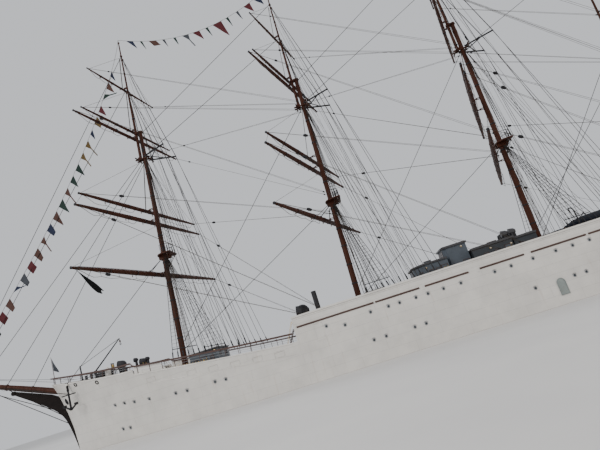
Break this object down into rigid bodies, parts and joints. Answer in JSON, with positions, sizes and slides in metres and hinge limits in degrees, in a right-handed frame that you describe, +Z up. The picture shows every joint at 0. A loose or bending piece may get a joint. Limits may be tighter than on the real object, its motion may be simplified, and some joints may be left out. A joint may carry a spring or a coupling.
{
  "type": "scale model of a four-masted barque, 1 to 10",
  "caption": "Square-rigged tall ship, a scale model with a long poop, bare braced yards, main stays, dressing flags, turning rudder and helm, swinging boom, gaff and derrick.",
  "frame": {"origin": "at the waterline, on the centreline amidships", "axes": "+X to the bow, +Y to port, +Z up"},
  "size_m": [11.0915, 3.1053, 6.0037],
  "materials": {
    "white": "white enamel, slightly weathered",
    "planks": "laid deck planks",
    "spar": "dark red-brown mast paint, satin",
    "rail": "dark varnish",
    "house": "blue-grey paint, the roofs dark",
    "iron": "black paint",
    "bronze": "dark carved wood, varnished",
    "cover": "dark blue canvas",
    "bunting": "wool bunting in dark colours",
    "wire": "tarred wire rope"
  },
  "bodies": {
    "root": {"hull": "white", "bulwark_poop_port": "white", "bulwark_poop_starboard": "white", "bulwark_well_port": "white", "bulwark_well_starboard": "white", "deck_forecastle": "planks", "deck_well": "planks", "deck_poop": "planks", "cutwater": "bronze", "bowsprit": "spar", "rail_forward_port": "rail", "rail_forward_starboard": "rail", "rail_poop": "white", "cabin": "house", "wheelhouse": "house", "aft_house": "house", "fore_house": "house", "fore_mast": "spar", "fore_topgallant_mast": "spar", "main_mast": "spar", "main_topgallant_mast": "spar", "mizzen_mast": "spar", "mizzen_topgallant_mast": "spar", "jigger_mast": "spar", "jigger_topmast": "spar", "fore_stay": "wire", "fore_topmast_stay": "wire", "main_stay": "wire", "main_topmast_stay": "wire", "mizzen_stay": "wire", "mizzen_topmast_stay": "wire", "jigger_stay": "wire", "anchor_port": "iron", "anchor_starboard": "iron", "boat_port": "cover", "boat_starboard": "cover", "dressing_line": "bunting"},
    "fore_course_yard": {"fore_course_yard": "spar"},
    "fore_lower_topsail_yard": {"fore_lower_topsail_yard": "spar"},
    "fore_upper_topsail_yard": {"fore_upper_topsail_yard": "spar"},
    "fore_lower_topgallant_yard": {"fore_lower_topgallant_yard": "spar"},
    "fore_upper_topgallant_yard": {"fore_upper_topgallant_yard": "spar"},
    "fore_royal_yard": {"fore_royal_yard": "spar"},
    "main_course_yard": {"main_course_yard": "spar"},
    "main_lower_topsail_yard": {"main_lower_topsail_yard": "spar"},
    "main_upper_topsail_yard": {"main_upper_topsail_yard": "spar"},
    "main_lower_topgallant_yard": {"main_lower_topgallant_yard": "spar"},
    "main_upper_topgallant_yard": {"main_upper_topgallant_yard": "spar"},
    "main_royal_yard": {"main_royal_yard": "spar"},
    "mizzen_course_yard": {"mizzen_course_yard": "spar"},
    "mizzen_lower_topsail_yard": {"mizzen_lower_topsail_yard": "spar"},
    "mizzen_upper_topsail_yard": {"mizzen_upper_topsail_yard": "spar"},
    "mizzen_lower_topgallant_yard": {"mizzen_lower_topgallant_yard": "spar"},
    "mizzen_upper_topgallant_yard": {"mizzen_upper_topgallant_yard": "spar"},
    "mizzen_royal_yard": {"mizzen_royal_yard": "spar"},
    "spanker_boom": {"spanker_boom": "spar"},
    "spanker_gaff": {"spanker_gaff": "spar"},
    "rudder": {"rudder": "white"},
    "helm_wheel": {"helm_wheel": "bronze"},
    "derrick": {"derrick": "iron"}
  },
  "joints": [
    {"name": "fore_course_brace", "type": "hinge", "parent": "root", "child": "fore_course_yard", "pos_m": [3.13007, 0, 1.894], "axis": [0, 0, 1], "range_deg": [-32.9, 57.1]},
    {"name": "fore_lower_topsail_brace", "type": "hinge", "parent": "root", "child": "fore_lower_topsail_yard", "pos_m": [3.09425, 0, 2.645], "axis": [0, 0, 1], "range_deg": [-32.9, 57.1]},
    {"name": "fore_upper_topsail_brace", "type": "hinge", "parent": "root", "child": "fore_upper_topsail_yard", "pos_m": [3.08682, 0, 2.801], "axis": [0, 0, 1], "range_deg": [-32.9, 57.1]},
    {"name": "fore_lower_topgallant_brace", "type": "hinge", "parent": "root", "child": "fore_lower_topgallant_yard", "pos_m": [3.05936, 0, 3.922], "axis": [0, 0, 1], "range_deg": [-32.9, 57.1]},
    {"name": "fore_upper_topgallant_brace", "type": "hinge", "parent": "root", "child": "fore_upper_topgallant_yard", "pos_m": [3.05417, 0, 4.031], "axis": [0, 0, 1], "range_deg": [-32.9, 57.1]},
    {"name": "fore_royal_brace", "type": "hinge", "parent": "root", "child": "fore_royal_yard", "pos_m": [3.0215, 0, 4.716], "axis": [0, 0, 1], "range_deg": [-32.9, 57.1]},
    {"name": "main_course_brace", "type": "hinge", "parent": "root", "child": "main_course_yard", "pos_m": [0.77012, 0, 1.871], "axis": [0, 0, 1], "range_deg": [-28.3, 61.7]},
    {"name": "main_lower_topsail_brace", "type": "hinge", "parent": "root", "child": "main_lower_topsail_yard", "pos_m": [0.73878, 0, 2.622], "axis": [0, 0, 1], "range_deg": [-28.3, 61.7]},
    {"name": "main_upper_topsail_brace", "type": "hinge", "parent": "root", "child": "main_upper_topsail_yard", "pos_m": [0.73227, 0, 2.778], "axis": [0, 0, 1], "range_deg": [-28.3, 61.7]},
    {"name": "main_lower_topgallant_brace", "type": "hinge", "parent": "root", "child": "main_lower_topgallant_yard", "pos_m": [0.71148, 0, 3.899], "axis": [0, 0, 1], "range_deg": [-28.3, 61.7]},
    {"name": "main_upper_topgallant_brace", "type": "hinge", "parent": "root", "child": "main_upper_topgallant_yard", "pos_m": [0.70693, 0, 4.008], "axis": [0, 0, 1], "range_deg": [-28.3, 61.7]},
    {"name": "main_royal_brace", "type": "hinge", "parent": "root", "child": "main_royal_yard", "pos_m": [0.67834, 0, 4.693], "axis": [0, 0, 1], "range_deg": [-28.3, 61.7]},
    {"name": "mizzen_course_brace", "type": "hinge", "parent": "root", "child": "mizzen_course_yard", "pos_m": [-1.55865, 0, 1.896], "axis": [0, 0, 1], "range_deg": [-27, 63]},
    {"name": "mizzen_lower_topsail_brace", "type": "hinge", "parent": "root", "child": "mizzen_lower_topsail_yard", "pos_m": [-1.57726, 0, 2.647], "axis": [0, 0, 1], "range_deg": [-27, 63]},
    {"name": "mizzen_upper_topsail_brace", "type": "hinge", "parent": "root", "child": "mizzen_upper_topsail_yard", "pos_m": [-1.58113, 0, 2.803], "axis": [0, 0, 1], "range_deg": [-27, 63]},
    {"name": "mizzen_lower_topgallant_brace", "type": "hinge", "parent": "root", "child": "mizzen_lower_topgallant_yard", "pos_m": [-1.58292, 0, 3.924], "axis": [0, 0, 1], "range_deg": [-27, 63]},
    {"name": "mizzen_upper_topgallant_brace", "type": "hinge", "parent": "root", "child": "mizzen_upper_topgallant_yard", "pos_m": [-1.58562, 0, 4.033], "axis": [0, 0, 1], "range_deg": [-27, 63]},
    {"name": "mizzen_royal_brace", "type": "hinge", "parent": "root", "child": "mizzen_royal_yard", "pos_m": [-1.6026, 0, 4.718], "axis": [0, 0, 1], "range_deg": [-27, 63]},
    {"name": "spanker_boom_swing", "type": "hinge", "parent": "root", "child": "spanker_boom", "pos_m": [-3.56011, 0, 0.99], "axis": [0, 0, 1], "range_deg": [-60, 60]},
    {"name": "spanker_gaff_swing", "type": "hinge", "parent": "root", "child": "spanker_gaff", "pos_m": [-3.58134, 0, 1.92], "axis": [0, 0, 1], "range_deg": [-60, 60]},
    {"name": "rudder_turn", "type": "hinge", "parent": "root", "child": "rudder", "pos_m": [-4.135, 0, 0], "axis": [0, 0, 1], "range_deg": [-35, 35]},
    {"name": "helm_turn", "type": "hinge", "parent": "root", "child": "helm_wheel", "pos_m": [-4.12, 0, 0.815], "axis": [1, 0, 0], "range_deg": [-282, 282]},
    {"name": "derrick_slew", "type": "hinge", "parent": "root", "child": "derrick", "pos_m": [4.145, 0.3, 0.8], "axis": [0, 0, 1], "range_deg": [-60, 60]}
  ],
  "couplings": [
    {"joint": "helm_turn", "follows": "rudder_turn", "ratio": 8}
  ]
}
